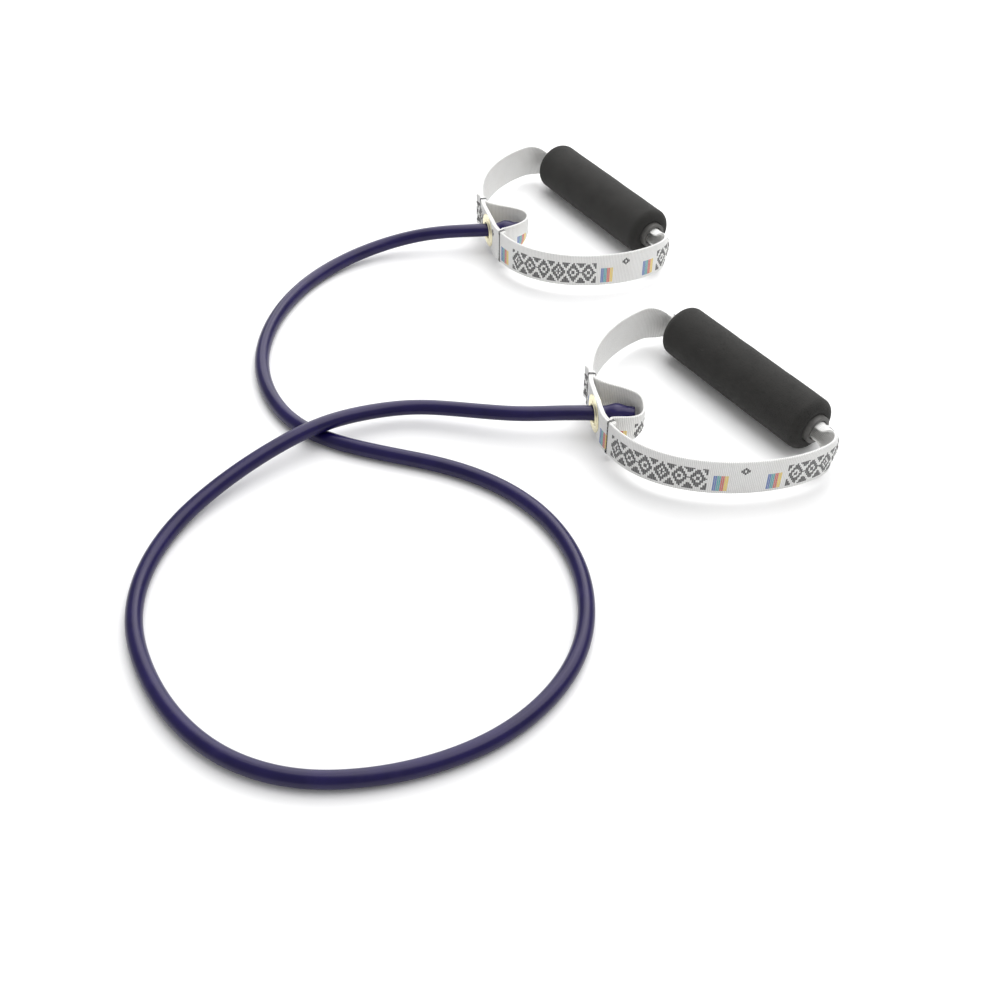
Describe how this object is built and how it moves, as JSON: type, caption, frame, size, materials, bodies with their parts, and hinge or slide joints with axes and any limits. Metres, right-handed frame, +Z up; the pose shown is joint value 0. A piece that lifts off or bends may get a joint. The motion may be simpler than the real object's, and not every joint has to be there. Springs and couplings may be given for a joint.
{
  "type": "resistance band",
  "caption": "Elastic exercise tube with a swivelling webbing handle and a foam grip on each end, lying in a loose loop.",
  "frame": {"origin": "on the floor, below the middle of the box round the two handles", "axes": "+Z up from the floor; +Y from the front handle to the rear one; +X from the tube to the grips"},
  "size_m": [0.4066, 0.578, 0.0356],
  "materials": {
    "latex": "glossy dipped latex",
    "plug": "smooth",
    "brass": "polished pale brass",
    "webbing": "ribbed woven webbing",
    "thread": "sewing thread",
    "core_plastic": "satin moulded",
    "foam": "matt fine-celled foam"
  },
  "bodies": {
    "tube": {"latex_tube": "latex", "front_tube_end": "latex", "front_tube_plug": "plug", "rear_tube_end": "latex", "rear_tube_plug": "plug"},
    "front_strap": {"front_eyelet": "brass", "front_eyelet_washer": "brass", "front_eyelet_panel": "webbing", "front_strap_loop": "webbing", "front_pocket": "webbing", "front_upper_stitches": "thread", "front_lower_stitches": "thread"},
    "front_grip": {"front_grip_core": "core_plastic", "front_foam_grip": "foam"},
    "rear_strap": {"rear_eyelet": "brass", "rear_eyelet_washer": "brass", "rear_eyelet_panel": "webbing", "rear_strap_loop": "webbing", "rear_pocket": "webbing", "rear_upper_stitches": "thread", "rear_lower_stitches": "thread"},
    "rear_grip": {"rear_grip_core": "core_plastic", "rear_foam_grip": "foam"}
  },
  "joints": [
    {"name": "front_swivel", "type": "hinge", "parent": "tube", "child": "front_strap", "pos_m": [-0.035, -0.13, 0.01775], "axis": [0.9994, -0.0349, 0], "continuous": true},
    {"name": "front_grip_spin", "type": "hinge", "parent": "front_strap", "child": "front_grip", "pos_m": [0.063, -0.093, 0.01775], "axis": [0.5736, -0.8192, 0], "continuous": true},
    {"name": "rear_swivel", "type": "hinge", "parent": "tube", "child": "rear_strap", "pos_m": [-0.102, 0.08, 0.01775], "axis": [0.9976, 0.0698, 0], "continuous": true},
    {"name": "rear_grip_spin", "type": "hinge", "parent": "rear_strap", "child": "rear_grip", "pos_m": [-0.015, 0.126, 0.01775], "axis": [0.5446, -0.8387, 0], "continuous": true}
  ]
}
